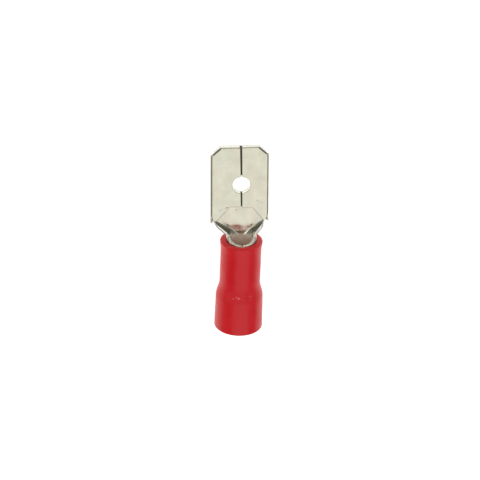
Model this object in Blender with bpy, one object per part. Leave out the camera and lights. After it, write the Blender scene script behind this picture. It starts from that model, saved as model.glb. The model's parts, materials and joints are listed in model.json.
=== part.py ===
"""Insulated male spade terminal, 6.3 x 0.8 mm tab.

Two pieces: a terminal formed from one stamped sheet, and the plastic sleeve pressed over its wire barrel.
The sheet is laid out flat, as it is stamped, and each point of it is then carried through the forming
steps of the real part: the sides of the tab are folded flat on its back, and the neck and the barrel are
rolled up.  The tip and the hole are then cut through both layers, and the sleeve is turned from its profile.
Metres, +Z up, +Y towards the tip of the tab.  The part lies as it comes to rest: on the sleeve's front lip
and the tip of the tab.
"""

import math

import bmesh
import bpy
from mathutils import Matrix, Vector

# Sheet
SHEET = 0.00038  # thickness of the tinned brass
FOLD_GAP = 0.00004  # air between the tab's back layer and the folded flaps

# Tab
TAB_WIDTH = 0.0063
TAB_LENGTH = 0.00912  # tip to lower corners, between left and right
TIP_CHAMFER_WIDTH = 0.0011
TIP_CHAMFER_LENGTH = 0.001
LEAD_IN_DEPTH = 0.00014  # bevel pressed round the tip, on both faces
LEAD_IN_LENGTH = 0.00024
LOCK_HOLE_DIAMETER = 0.00195  # centred on the seam
LOCK_HOLE_FROM_TIP = 0.0046
CORNER_SKEW = 0.00003  # the right lower corner is this much nearer to the tip, the left one farther

# Flaps, folded over the back layer
FLAP_ROOT_FROM_TIP = 0.00734  # straight root edge of the flaps
FLAP_ROOT_SKEW = 0.00008  # the left root edge is this much nearer to the tip, the right one farther
FLAP_ROOT_HALF = 0.00118  # from the seam to where the slanted edge starts
FLAP_CORNER_LIP = 0.0001  # width of a flap at the lower corner
SEAM_AT_TIP = 0.00012  # how far the seam lies to the right of the tab's middle
SEAM_AT_ROOT = 0.00022
SEAM_GAP_AT_TIP = 0.00016
SEAM_GAP_AT_ROOT = 0.0001

# Neck
NECK_LENGTH = 0.00177  # barrel mouth to the tab's lower corners
NECK_WAIST_HALF = 0.0022  # half the flat sheet's width at its narrowest
NECK_WAIST_FROM_MOUTH = 0.00045
NECK_BEND_RADIUS = 0.00035  # inside the raised sides, at the waist
NECK_BEND_LENGTH = 0.00075  # over which the barrel's radius tightens to it
NECK_WALL_ANGLE = math.radians(80)  # of the raised sides to the floor
CORNER_BEND_RADIUS = 0.0006  # where the tab's lower corners are lifted a little
FLARE_FROM_MOUTH = 0.0001  # where the round barrel starts to open
FLARE_LENGTH = 0.0029  # over which it opens into the flat tab
FLARE_SLOPE = 1.2  # how steeply it starts, as a share of a straight flare

# Wire barrel
BARREL_BORE = 0.0023
BARREL_LENGTH = 0.0054
BARREL_SEAM = 0.00007
SERRATIONS = 3  # grooves that bite into the wire
SERRATION_PITCH = 0.0011
SERRATION_WIDTH = 0.0003
SERRATION_DEPTH = 0.00005

# Sleeve
SLEEVE_LENGTH = 0.01055
SLEEVE_WALL = 0.00063
SLEEVE_FIT = 0.00003  # clearance on the barrel
WIRE_BORE = 0.00396  # takes the wire with its insulation
WIRE_BORE_DEPTH = 0.0037
SHOULDER_LENGTH = 0.0018
FUNNEL_LENGTH = 0.00135
DRAFT = 0.00006  # how much the wire end narrows towards the shoulder
LIP_FLARE = 0.0001
LIP_LENGTH = 0.0014
EDGE_ROUND = 0.0001

# Assembly
BARREL_LEAN = math.radians(1.65)  # the wire end leans to the left of the tab
LEAN_PIVOT = 0.0053  # from the wire end to where the two centre lines cross

# Smoothness
FLOOR_COLUMNS = 7  # on each side of the sheet
BEND_COLUMNS = 8
WALL_COLUMNS = 5
FOLD_COLUMNS = 8
FLAP_COLUMNS = 3
MOST_FLOOR = 0.88  # share of a row that the floor's columns may take
MOST_BEND = 0.75  # share of the rest that the bend's columns may take
NOTCH_ROWS = 6
NECK_ROWS = 8
TAB_ROWS = 5
SLEEVE_STEPS = 44
SHOULDER_STEPS = 8
ROUND_STEPS = 3
HOLE_STEPS = 32
SHARP_ANGLE = math.radians(35)  # edges steeper than this are shaded as edges
SLOPE_STEP = SHEET / 40  # how far on each side the bent sheet is sampled to find its slope

# Cutting tools, larger than what they cut
DIE_MARGIN = TAB_WIDTH
PUNCH_LENGTH = 4 * SHEET

# Places along the part, from the wire end of the sleeve
BARREL_MOUTH = SLEEVE_LENGTH
BARREL_START = BARREL_MOUTH - BARREL_LENGTH
TAB_CORNER = BARREL_MOUTH + NECK_LENGTH
TIP = TAB_CORNER + TAB_LENGTH
FLAP_ROOT = TIP - FLAP_ROOT_FROM_TIP
FLARE_START = BARREL_MOUTH + FLARE_FROM_MOUTH
NECK_WAIST = BARREL_MOUTH + NECK_WAIST_FROM_MOUTH

# Sizes that follow
BARREL_RADIUS = BARREL_BORE / 2
BARREL_OUTER = BARREL_RADIUS + SHEET
BARREL_HALF_SHEET = math.pi * BARREL_RADIUS - BARREL_SEAM / 2
FOLD_RADIUS = FOLD_GAP / 2
FOLD_ARC = math.pi * FOLD_RADIUS
FOLD_START = TAB_WIDTH / 2 - SHEET - FOLD_RADIUS
TAB_BOTTOM = -BARREL_OUTER
TAB_TOP = TAB_BOTTOM + 2 * SHEET + FOLD_GAP
LEFT, RIGHT = -1, 1


def mixed(start, end, share):
    return start + (end - start) * share


def eased(share, start_slope=0.0):
    """Runs from 0 to 1 and levels out there, leaving 0 with the slope given."""
    share = min(max(share, 0.0), 1.0)
    return share**2 * (3 - 2 * share) + start_slope * share * (1 - share) ** 2


def leaned(point):
    """Turns the barrel about the pivot; the turn fades out along the neck."""
    share = 1 - eased((point.y - FLARE_START) / NECK_LENGTH)
    pivot = Vector((0, LEAN_PIVOT, 0))
    turned = Matrix.Rotation(-BARREL_LEAN, 3, "Z") @ (point - pivot) + pivot
    return point.lerp(turned, share)


def section(y):
    """The rolled cross-section at y: half its flat floor, its bends' radius and angle, how far it is open."""
    opening = eased((y - FLARE_START) / NECK_BEND_LENGTH)
    flat = TAB_WIDTH / 2 * eased((y - FLARE_START) / FLARE_LENGTH, FLARE_SLOPE)
    radius = mixed(BARREL_RADIUS, NECK_BEND_RADIUS, opening)
    radius = mixed(radius, CORNER_BEND_RADIUS, eased((y - NECK_WAIST) / (TAB_CORNER - NECK_WAIST)))
    return flat, radius, mixed(math.pi, NECK_WALL_ANGLE, opening), opening


def inner_surface(x, y):
    """Where the sheet's inner face goes: a flat floor, a bend on each side, and a straight wall after it."""
    flat, radius, most, _ = section(y)
    beyond = max(abs(x) - flat, 0)
    angle = min(beyond / radius, most)
    wall = beyond - angle * radius
    across = min(abs(x), flat) + radius * math.sin(angle) + wall * math.cos(angle)
    up = radius * (1 - math.cos(angle)) + wall * math.sin(angle)
    return Vector((math.copysign(across, x), y, up - BARREL_RADIUS))


def rolled(x, y, height):
    """A point this high over the sheet's inner face, after rolling."""
    along = inner_surface(x, y + SLOPE_STEP) - inner_surface(x, y - SLOPE_STEP)
    across = inner_surface(x + SLOPE_STEP, y) - inner_surface(x - SLOPE_STEP, y)
    return inner_surface(x, y) + height * across.cross(along).normalized()


def folded(across, depth):
    """Cross-section of the tab: place across it, and height over the inner face of the back layer."""
    beyond = abs(across) - FOLD_START
    if beyond <= 0:
        return across, -depth
    if beyond < FOLD_ARC:
        angle = beyond / FOLD_RADIUS
        reach = FOLD_START + (FOLD_RADIUS + depth) * math.sin(angle)
        return math.copysign(reach, across), FOLD_RADIUS - (FOLD_RADIUS + depth) * math.cos(angle)
    return math.copysign(FOLD_START, across) * (1 - (beyond - FOLD_ARC) / FOLD_START), FOLD_GAP + depth


def formed(point, in_tab):
    """Carries a point of the flat sheet, z being minus its depth under the inner face, to its place."""
    depth = -point.z
    x, height = folded(point.x, depth) if in_tab else (point.x, -depth)
    return leaned(rolled(x, point.y, height))


def seam_at(y):
    """How far the seam lies to the right of the tab's middle, and how wide it gapes."""
    share = min((TIP - y) / FLAP_ROOT_FROM_TIP, 1.0)
    return mixed(SEAM_AT_TIP, SEAM_AT_ROOT, share), mixed(SEAM_GAP_AT_TIP, SEAM_GAP_AT_ROOT, share)


def seam_reach(side, y):
    """How far the free edge of a flap lies from the middle of the flat sheet."""
    middle, gap = seam_at(y)
    return 2 * FOLD_START + FOLD_ARC - side * middle - gap / 2


def spread(start, end, count):
    return [mixed(start, end, index / count) for index in range(count + 1)]


def serration_rows():
    """(y, depth pressed into the inner face) across the serrations."""
    first = BARREL_START + (BARREL_LENGTH - SERRATION_PITCH * (SERRATIONS - 1)) / 2
    flank = SERRATION_DEPTH
    rows = []
    for index in range(SERRATIONS):
        low = first + index * SERRATION_PITCH - SERRATION_WIDTH / 2
        high = low + SERRATION_WIDTH
        rows += [(low, 0), (low + flank, SERRATION_DEPTH), (high - flank, SERRATION_DEPTH), (high, 0)]
    return rows


def places_across(y, half):
    """Columns of one half of a row: even in the barrel, gathered on the bends in the neck."""
    flat, radius, most, opening = section(y)
    flat = min(flat, MOST_FLOOR * half)
    bend_end = min(flat + most * radius, mixed(flat, half, MOST_BEND))
    gathered = spread(0, flat, FLOOR_COLUMNS)
    gathered += spread(flat, bend_end, BEND_COLUMNS)[1:] + spread(bend_end, half, WALL_COLUMNS)[1:]
    even = spread(0, half, len(gathered) - 1)
    return [mixed(a, b, opening) for a, b in zip(even, gathered)]


def barrel_and_neck_rows(side):
    """Rows of one half of the flat sheet: (places across, y, shift of y at the edge, depth pressed in)."""
    rows = []
    for y, depth in [(BARREL_START, 0)] + serration_rows():
        rows.append((places_across(y, BARREL_HALF_SHEET), y, 0, depth))
    for angle in spread(0, math.pi / 2, NOTCH_ROWS):
        half = mixed(BARREL_HALF_SHEET, NECK_WAIST_HALF, math.sin(angle))
        y = BARREL_MOUTH + NECK_WAIST_FROM_MOUTH * (1 - math.cos(angle))
        rows.append((places_across(y, half), y, 0, 0))
    for share in spread(0, 1, NECK_ROWS)[1:-1]:
        half = mixed(NECK_WAIST_HALF, FOLD_START, share**2)
        y = mixed(NECK_WAIST, TAB_CORNER, share)
        skew = share * CORNER_SKEW
        rows.append((places_across(y + side * skew, half), y, skew, 0))
    return rows


def tab_rows(side):
    """The same for the tab, where the row also runs round the fold and over the flap."""
    fold_end = FOLD_START + FOLD_ARC
    slant_end = fold_end + FOLD_START - FLAP_ROOT_HALF - side * SEAM_AT_ROOT
    round_fold = spread(FOLD_START, fold_end, FOLD_COLUMNS)[1:]
    rows = []
    for share in spread(0, 1, TAB_ROWS):
        slant = mixed(fold_end + FLAP_CORNER_LIP, slant_end, share)
        y = mixed(TAB_CORNER, FLAP_ROOT, share)
        skew = mixed(CORNER_SKEW, -FLAP_ROOT_SKEW, share)
        places = places_across(y + side * skew, FOLD_START) + round_fold
        rows.append((places + spread(fold_end, slant, FLAP_COLUMNS)[1:], y, skew, 0))
    rows[-1][0].append(seam_reach(side, FLAP_ROOT))
    places = places_across(TIP, FOLD_START) + round_fold + spread(fold_end, slant_end, FLAP_COLUMNS)[1:]
    rows.append((places + [seam_reach(side, TIP)], TIP, 0, 0))
    return rows


def terminal_mesh():
    """The flat sheet as a grid, given its thickness, then folded and rolled."""
    sheet = bmesh.new()
    pressed = sheet.verts.layers.float.new("pressed")
    in_tab = sheet.verts.layers.int.new("in_tab")
    grid = {}
    for side in (LEFT, RIGHT):
        neck = barrel_and_neck_rows(side)
        for row, (places, y, skew, depth) in enumerate(neck + tab_rows(side)):
            for column, place in enumerate(places):
                shift = side * skew * min(place / FOLD_START, 1)
                if (row, side * column) not in grid:
                    vertex = sheet.verts.new((side * place, y + shift, 0))
                    vertex[pressed] = depth
                    vertex[in_tab] = row >= len(neck)
                    grid[row, side * column] = vertex
    for row, column in grid:
        corners = [(row, column), (row, column + 1), (row + 1, column + 1), (row + 1, column)]
        if all(corner in grid for corner in corners):
            sheet.faces.new([grid[corner] for corner in corners])
    for vertex in sheet.verts:
        vertex.co.z = -vertex[pressed]
    outer = bmesh.ops.extrude_face_region(sheet, geom=sheet.faces[:], use_keep_orig=True)
    for item in outer["geom"]:
        if isinstance(item, bmesh.types.BMVert):
            item.co.z = -SHEET
    for vertex in sheet.verts:
        vertex.co = formed(vertex.co, vertex[in_tab])
    bmesh.ops.recalc_face_normals(sheet, faces=sheet.faces)
    return finished_mesh(sheet, "tab_terminal")


def finished_mesh(shape, name):
    mesh = bpy.data.meshes.new(name)
    shape.to_mesh(mesh)
    shape.free()
    return mesh


def cut_by_plane(shape, point, normal):
    """Takes away what lies beyond the plane and closes the cut."""
    parts = shape.verts[:] + shape.edges[:] + shape.faces[:]
    cut = bmesh.ops.bisect_plane(shape, geom=parts, plane_co=point, plane_no=normal, clear_outer=True)
    edges = [item for item in cut["geom_cut"] if isinstance(item, bmesh.types.BMEdge)]
    bmesh.ops.holes_fill(shape, edges=edges)


def tip_die():
    """A block whose front end is the outline of the tip, with its chamfers and lead-in bevels."""
    block = bmesh.new()
    bmesh.ops.create_cube(block, size=1)
    low = Vector((-TAB_WIDTH / 2 - DIE_MARGIN, BARREL_START - DIE_MARGIN, TAB_BOTTOM - DIE_MARGIN))
    high = Vector((TAB_WIDTH / 2 + DIE_MARGIN, TIP, -TAB_BOTTOM + DIE_MARGIN))
    bmesh.ops.scale(block, vec=high - low, verts=block.verts)
    bmesh.ops.translate(block, vec=(high + low) / 2, verts=block.verts)
    sides = [(Vector((0, TIP, 0)), Vector((0, 1, 0)))]
    for side in (LEFT, RIGHT):
        corner = Vector((side * (TAB_WIDTH / 2 - TIP_CHAMFER_WIDTH), TIP, 0))
        sides.append((corner, Vector((side * TIP_CHAMFER_LENGTH, TIP_CHAMFER_WIDTH, 0)).normalized()))
    for point, outwards in sides:
        cut_by_plane(block, point, outwards)
        for face_z, up in ((TAB_TOP, 1), (TAB_BOTTOM, -1)):
            bevel_start = Vector((point.x, point.y, face_z)) - LEAD_IN_LENGTH * outwards
            slope = LEAD_IN_DEPTH * outwards + Vector((0, 0, up * LEAD_IN_LENGTH))
            cut_by_plane(block, bevel_start, slope.normalized())
    bmesh.ops.recalc_face_normals(block, faces=block.faces)
    return finished_mesh(block, "tip_die")


def hole_punch():
    punch = bmesh.new()
    hole_y = TIP - LOCK_HOLE_FROM_TIP
    place = Matrix.Translation((seam_at(hole_y)[0], hole_y, (TAB_BOTTOM + TAB_TOP) / 2))
    bmesh.ops.create_cone(
        punch,
        cap_ends=True,
        segments=HOLE_STEPS,
        radius1=LOCK_HOLE_DIAMETER / 2,
        radius2=LOCK_HOLE_DIAMETER / 2,
        depth=PUNCH_LENGTH,
        matrix=place,
    )
    return finished_mesh(punch, "hole_punch")


def round_corner(centre_y, centre_r, radius, start, end):
    """Points (y, r) of a small arc from one heading to the other, in degrees from +r towards +y."""
    points = []
    for angle in spread(math.radians(start), math.radians(end), ROUND_STEPS):
        points.append((centre_y + radius * math.sin(angle), centre_r + radius * math.cos(angle)))
    return points


def sleeve_profile():
    """Half section (y, r) of the sleeve's wall: outside from the wire end to the lip, inside back again."""
    fit = BARREL_OUTER + SLEEVE_FIT
    wire = WIRE_BORE / 2
    neck = fit + SLEEVE_WALL
    wide = wire + SLEEVE_WALL
    lip_start = SLEEVE_LENGTH - LIP_LENGTH
    edge = EDGE_ROUND
    profile = round_corner(edge, wide - edge, edge, -90, 0)
    for share in spread(0, 1, SHOULDER_STEPS):
        y = WIRE_BORE_DEPTH + share * SHOULDER_LENGTH
        profile.append((y, mixed(wide - DRAFT, neck, eased(share))))
    for share in spread(0, 1, ROUND_STEPS)[:-1]:
        profile.append((mixed(lip_start, SLEEVE_LENGTH - edge, share), neck + LIP_FLARE * share**2))
    profile += round_corner(SLEEVE_LENGTH - edge, neck + LIP_FLARE - edge, edge, 0, 90)
    profile += round_corner(SLEEVE_LENGTH - edge, fit + edge, edge, 90, 180)
    for share in spread(1, 0, SHOULDER_STEPS):
        y = WIRE_BORE_DEPTH + share * FUNNEL_LENGTH
        profile.append((y, mixed(wire, fit, eased(share))))
    return profile + round_corner(edge, wire + edge, edge, 180, 270)


def sleeve_mesh():
    """The wall's half section turned about the barrel's axis."""
    sleeve = bmesh.new()
    ring = [sleeve.verts.new((r, y, 0)) for y, r in sleeve_profile()]
    edges = [sleeve.edges.new(pair) for pair in zip(ring, ring[1:] + ring[:1])]
    bmesh.ops.spin(
        sleeve,
        geom=ring + edges,
        axis=(0, 1, 0),
        cent=(0, 0, 0),
        angle=math.tau,
        steps=SLEEVE_STEPS,
        use_merge=True,
    )
    bmesh.ops.recalc_face_normals(sleeve, faces=sleeve.faces)
    for vertex in sleeve.verts:
        vertex.co = leaned(vertex.co.copy())
    return finished_mesh(sleeve, "insulating_sleeve")


def material(name, colour, metallic, roughness):
    made = bpy.data.materials.new(name)
    made.use_nodes = True
    shader = made.node_tree.nodes["Principled BSDF"]
    shader.inputs["Base Color"].default_value = (*colour, 1)
    shader.inputs["Metallic"].default_value = metallic
    shader.inputs["Roughness"].default_value = roughness
    made.diffuse_color = (*colour, 1)
    return made


def piece(mesh, parent, finish):
    obj = bpy.data.objects.new(mesh.name, mesh)
    obj.parent = parent
    mesh.materials.append(finish)
    mesh.shade_smooth()
    mesh.set_sharp_from_angle(angle=SHARP_ANGLE)
    bpy.context.scene.collection.objects.link(obj)
    return obj


def cutter(mesh, parent):
    obj = bpy.data.objects.new(mesh.name, mesh)
    obj.parent = parent
    obj.hide_render = True
    obj.display_type = "WIRE"
    bpy.context.scene.collection.objects.link(obj)
    return obj


def add_boolean(obj, tool, operation):
    modifier = obj.modifiers.new(tool.name, "BOOLEAN")
    modifier.operation = operation
    modifier.solver = "EXACT"
    modifier.object = tool


def footing(pieces):
    """Middle of the pieces' common box in x and y, and its lowest z, in world space."""
    graph = bpy.context.evaluated_depsgraph_get()
    points = []
    for obj in pieces:
        shown = obj.evaluated_get(graph)
        mesh = shown.to_mesh()
        points += [shown.matrix_world @ vertex.co for vertex in mesh.vertices]
        shown.to_mesh_clear()
    xs, ys, zs = zip(*points)
    return Vector(((min(xs) + max(xs)) / 2, (min(ys) + max(ys)) / 2, min(zs)))


def lay_down(frame, pieces):
    """Tips the part onto its sleeve's lip and the tab's tip, and sets it on the surface."""
    lip_radius = BARREL_OUTER + SLEEVE_FIT + SLEEVE_WALL + LIP_FLARE
    drop = lip_radius + TAB_BOTTOM
    reach = (TIP - LEAD_IN_LENGTH) - (SLEEVE_LENGTH - EDGE_ROUND)
    frame.rotation_euler.x = -math.atan2(drop, reach)
    bpy.context.view_layer.update()
    frame.location = -footing(pieces)
    bpy.context.view_layer.update()


def main():
    for obj in list(bpy.data.objects):
        bpy.data.objects.remove(obj)
    frame = bpy.data.objects.new("terminal_frame", None)
    bpy.context.scene.collection.objects.link(frame)
    tinned_brass = material("tinned_brass", (0.70, 0.67, 0.60), 1.0, 0.38)
    red_pvc = material("red_pvc", (0.52, 0.03, 0.035), 0.0, 0.4)
    terminal = piece(terminal_mesh(), frame, tinned_brass)
    sleeve = piece(sleeve_mesh(), frame, red_pvc)
    add_boolean(terminal, cutter(tip_die(), frame), "INTERSECT")
    add_boolean(terminal, cutter(hole_punch(), frame), "DIFFERENCE")
    lay_down(frame, [terminal, sleeve])


main()
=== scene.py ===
"""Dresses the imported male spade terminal: its formed sheet, its moulded sleeve, the stage and the camera.

Each size is in metres.  The pieces are first made in the terminal's own axes, y running from the sleeve's
wire end to the tip of the tab, z being 0 on the barrel's axis, and are then laid down as the frame says.
"""

import json
import math
from functools import partial
from types import SimpleNamespace

import bmesh
import bpy
import numpy as np
from mathutils import Matrix, Vector
from mathutils.geometry import delaunay_2d_cdt


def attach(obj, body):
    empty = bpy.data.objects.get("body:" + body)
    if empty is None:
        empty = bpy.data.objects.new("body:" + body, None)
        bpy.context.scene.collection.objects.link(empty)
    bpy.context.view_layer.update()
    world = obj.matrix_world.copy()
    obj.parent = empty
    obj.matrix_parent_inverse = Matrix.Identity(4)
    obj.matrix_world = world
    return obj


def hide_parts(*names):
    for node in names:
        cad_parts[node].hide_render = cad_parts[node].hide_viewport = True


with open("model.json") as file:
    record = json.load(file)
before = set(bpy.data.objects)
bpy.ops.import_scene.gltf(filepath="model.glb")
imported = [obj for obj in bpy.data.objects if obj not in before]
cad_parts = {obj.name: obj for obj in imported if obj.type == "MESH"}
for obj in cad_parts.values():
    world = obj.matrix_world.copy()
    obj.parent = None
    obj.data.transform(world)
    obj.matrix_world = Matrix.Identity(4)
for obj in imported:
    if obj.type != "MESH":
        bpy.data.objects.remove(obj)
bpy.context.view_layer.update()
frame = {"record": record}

bl_info = {
    "name": "Insulated spade terminal",
    "version": (1, 0, 0),
    "blender": (4, 5, 0),
    "location": "3D View > Sidebar > Terminal",
    "description": "Builds a folded-sheet spade terminal in its moulded sleeve, ready to look at",
    "category": "Object",
}

LEFT, RIGHT = -1, 1


def length(name, default, description):
    return bpy.props.FloatProperty(
        name=name, description=description, default=default, min=0, unit="LENGTH", precision=3
    )


def factor(name, default, description, most=1.0):
    return bpy.props.FloatProperty(name=name, description=description, default=default, min=0, max=most)


def angle(name, degrees, description):
    return bpy.props.FloatProperty(
        name=name, description=description, default=math.radians(degrees), subtype="ANGLE"
    )


def count(name, default, description):
    return bpy.props.IntProperty(name=name, description=description, default=default, min=1)


def linear(hex_colour):
    """An sRGB hex value as the linear red, green and blue that Blender works in."""
    channels = [int(hex_colour[place : place + 2], 16) / 255 for place in (0, 2, 4)]
    return [c / 12.92 if c <= 0.04045 else ((c + 0.055) / 1.055) ** 2.4 for c in channels]


def colour(name, hex_colour, description):
    return bpy.props.FloatVectorProperty(
        name=name, description=description, default=linear(hex_colour), size=3, subtype="COLOR", min=0, max=1
    )


class TerminalSettings(bpy.types.PropertyGroup):
    """Sizes and finish of the sheet-metal terminal"""

    sheet: length("Sheet", 0.00038, "Thickness of the plated sheet")
    fold_gap: length("Fold gap", 0.00004, "Air between the tab's back layer and its folded flaps")
    fold_squareness: factor("Fold squareness", 2.7, "2 leaves the folded sides round, more squares them", 6.0)
    tab_width: length("Tab width", 0.0063, "Width over the two folds")
    tab_length: length("Tab length", 0.00912, "Tip to the lower corners")
    chamfer_width: length("Chamfer width", 0.0011, "How much of the width each tip chamfer takes")
    chamfer_length: length("Chamfer length", 0.001, "How much of the length each tip chamfer takes")
    lead_in_depth: length("Lead-in depth", 0.00011, "How far the tip's bevel is pressed in, on both faces")
    lead_in_length: length("Lead-in length", 0.00017, "How far the tip's bevel reaches from the edge")
    hole_diameter: length("Hole", 0.00195, "Diameter of the locking hole")
    hole_from_tip: length("Hole from tip", 0.0046, "Tip to the middle of the locking hole")
    root_from_tip: length("Flap root", 0.00734, "Tip to the root edges of the flaps")
    root_half: length("Half root", 0.00118, "From the seam to where a flap's slanted edge starts")
    seam_gap: length("Seam gap", 0.00016, "How far the seam gapes at the tip")
    neck_length: length("Neck length", 0.00177, "Barrel mouth to the tab's lower corners")
    neck_waist_half: length("Half waist", 0.0022, "Half the flat sheet's width at its narrowest")
    barrel_bore: length("Barrel bore", 0.0023, "Inside diameter of the wire barrel")
    barrel_length: length("Barrel length", 0.0054, "Length of the wire barrel")
    serrations: count("Serrations", 3, "Grooves pressed inside the barrel, to bite into the wire")
    cut_edge_round: length("Cut edge rounding", 0.000055, "Radius that the die leaves on the outer edges")
    burr_edge_round: length("Burr edge rounding", 0.00003, "Radius on the other edges, where the burr was")
    waviness: length("Waviness", 0.000004, "How far the sheet strays from flat after forming")
    tin: colour("Tin", "C5C0AE", "Reflection colour of the bright tin plating")
    cool_tin: colour("Cool tin", "C0C0AF", "Reflection colour of the plating where it's cooler")
    cut_colour: colour("Cut edge", "F4F2EC", "Reflection colour of the sheared edges")
    # painted shade: the faces that the flaps close in are coloured dark for the shade in the seam and under
    # the flaps' edges
    painted_shade_colour: colour("Painted shade between layers", "3A3630", "Colour of the faces that the flaps close in")
    inside_colour: colour("Inside", "F0DDCA", "Colour of the dull inside of the barrel")
    roughness: factor("Roughness", 0.115, "Roughness of the tin plating")


class SleeveSettings(bpy.types.PropertyGroup):
    """Sizes and finish of the moulded sleeve"""

    length: length("Length", 0.01055, "Length of the sleeve")
    wall: length("Wall", 0.00063, "Thickness of the sleeve's wall")
    fit: length("Fit", 0.00003, "Clearance on the barrel")
    wire_bore: length("Wire bore", 0.00396, "Bore of the wide end, for the wire's insulation")
    wire_bore_depth: length("Wire bore depth", 0.0037, "Depth of the wide bore")
    shoulder_length: length("Shoulder", 0.0018, "Length of the shoulder between the two diameters")
    funnel_length: length("Funnel", 0.00135, "Length of the funnel inside the shoulder")
    draft: length("Draft", 0.00006, "How much the wide end narrows towards the shoulder")
    lip_flare: length("Lip flare", 0.0001, "How far the front lip widens")
    lip_length: length("Lip length", 0.0014, "Length over which the front lip widens")
    edge_round: length("Edge rounding", 0.0001, "Radius of the sleeve's edges")
    parting_line: length("Parting line", 0.000008, "Height of the moulding's parting line")
    ripple: length("Ripple", 0.000012, "How far the soft wall strays from round")
    steps: count("Steps", 176, "Facets round the sleeve")
    pvc: colour("PVC", "D30C18", "Body colour of the red PVC")
    # lighter flecks: painted glints round the top of the shoulder, scuffed wear at the sleeve's ends
    rubbed_colour: colour("Glints and wear", "E4767C", "Colour of the small flecks where the PVC is rubbed")
    roughness: factor("Roughness", 0.36, "Roughness of the moulded skin")


class StageSettings(bpy.types.PropertyGroup):
    """Floor, light and camera"""

    elevation: angle("Elevation", 60, "Height of the camera over the tab's face")
    lens: bpy.props.FloatProperty(
        name="Lens", description="Focal length", default=250, min=50, unit="CAMERA"
    )
    field: length("Field", 0.05234, "Width of the picture at the terminal")
    floor_colour: colour("Floor", "C9C9C7", "Colour of the pale floor")


# Forming details that a user wouldn't change
CORNER_SKEW = 0.00003  # the right lower corner is this much nearer to the tip, the left one farther
ROOT_SKEW = 0.00008  # the left root edge is this much nearer to the tip, the right one farther
CORNER_LIP = 0.0001  # width of a flap at the lower corner
SEAM_AT_TIP = 0.00012  # how far the seam lies to the right of the tab's middle
SEAM_AT_ROOT = 0.00022
SEAM_GAP_SHARE_AT_ROOT = 0.62
WAIST_FROM_MOUTH = 0.00045
NECK_BEND_RADIUS = 0.00035
NECK_BEND_LENGTH = 0.00075
NECK_WALL_ANGLE = math.radians(80)
CORNER_BEND_RADIUS = 0.0006
FLAP_BEND_RADIUS = 0.0012
FLAP_BEND_BEFORE = 0.0004  # the bends widen to that radius from here before the lower corners
FLAP_BEND_AFTER = 0.00025
FLARE_FROM_MOUTH = 0.0001
FLARE_LENGTH = 0.0029
FLARE_SLOPE = 1.2
BARREL_SEAM = 0.00007
SERRATION_PITCH = 0.0011
SERRATION_WIDTH = 0.0003
SERRATION_DEPTH = 0.00005
BARREL_LEAN = math.radians(1.65)
LEAN_PIVOT = 0.0053
NORMAL_STEPS = 40  # a face's direction is taken over this fraction of the sheet's thickness
CROWN_SLOPES = (  # the neck's floor is a little higher at the barrel: place from the mouth, degrees downhill
    (-0.0032, 0), (-0.0024, -2.6), (-0.0006, -2.8), (-0.0001, 0), (0.0003, 3), (0.0005, 7.4),
    (0.00064, 8.1), (0.00078, 7.2), (0.00093, 5.8), (0.00105, 4.9), (0.0012, 4.5), (0.0013, 4.6),
    (0.00145, 4.5), (0.00165, 3.7), (0.00185, 2.5), (0.00205, 1.5), (0.0023, 0.6), (0.0025, 0),
)
CROWN_STEP = 0.00002
CROWN_ASIDE = (0.0009, 0.002)  # the crown fades out from the first to the second distance off the middle
VALLEY_ASIDE = 0.0009  # how far from the middle the two valleys beside the crown are deepest
VALLEY_DEPTH = 0.00005
VALLEY_START = (0, 0.0004)  # the valleys begin and end over these places from the mouth
VALLEY_END = (0.0022, 0.0058)
TIP_TURN_REACH = 0.0006  # how near to a tip chamfer the folded layers start to turn with it
LEAD_IN_FLAT = 0.00002  # the tip's bevel is deepest over this much of its edge
LEAD_IN_FADE = 1.15  # in lead-in lengths: where the bevel runs out
FLAP_MARK_FADE = 0.0003
INSIDE_FADE = 0.0005  # how far the dull look of the barrel's inside reaches out of its mouth
SHADE_BEFORE, SHADE_AFTER = 0.00005, 0.00004  # the painted shade on the faces that the flaps close in starts about the flaps' slanted edge
WAVINESS_SEED = 4
WAVE_COUNT = 7
WAVE_LENGTHS = (0.0011, 0.0032)
WAVE_PEAK = 4  # about how high the waves come when they meet, each being 1 high
SAME_PLACE = 1e-6
CHECK_POINT_FROM_TIP = 0.0044  # the record's mount on the tab's front face, which places the terminal
CHECK_POINT_X = 0.001699


def mixed(start, end, share):
    return start + (end - start) * share


def eased(share, start_slope=0.0):
    """Runs from 0 to 1 and levels out there, leaving 0 with the slope given."""
    share = np.clip(share, 0.0, 1.0)
    return share**2 * (3 - 2 * share) + start_slope * share * (1 - share) ** 2


def smooth_step(value, start, end):
    return eased((value - start) / (end - start))


def places_of(s, sleeve):
    """The places and radii that follow from the settings, along the terminal's own axes."""
    p = SimpleNamespace(mouth=sleeve.length)
    p.barrel_start = p.mouth - s.barrel_length
    p.corner = p.mouth + s.neck_length
    p.tip = p.corner + s.tab_length
    p.root = p.tip - s.root_from_tip
    p.flare_start = p.mouth + FLARE_FROM_MOUTH
    p.waist = p.mouth + WAIST_FROM_MOUTH
    p.bore_radius = s.barrel_bore / 2
    p.barrel_outer = p.bore_radius + s.sheet
    p.barrel_half = math.pi * p.bore_radius - BARREL_SEAM / 2
    p.fold_radius = s.fold_gap / 2
    p.fold_start = s.tab_width / 2 - s.sheet - p.fold_radius
    p.fold_reach = math.pi * (p.fold_radius + s.sheet / 2)
    p.fold_end = p.fold_start + p.fold_reach
    p.flap_turn = p.fold_end + p.fold_start
    p.chamfer_x = s.tab_width / 2 - s.chamfer_width
    p.chamfer_slope = s.chamfer_length / s.chamfer_width
    p.hole_y = p.tip - s.hole_from_tip
    p.tab_top = -p.barrel_outer + 2 * s.sheet + s.fold_gap
    return p


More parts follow.
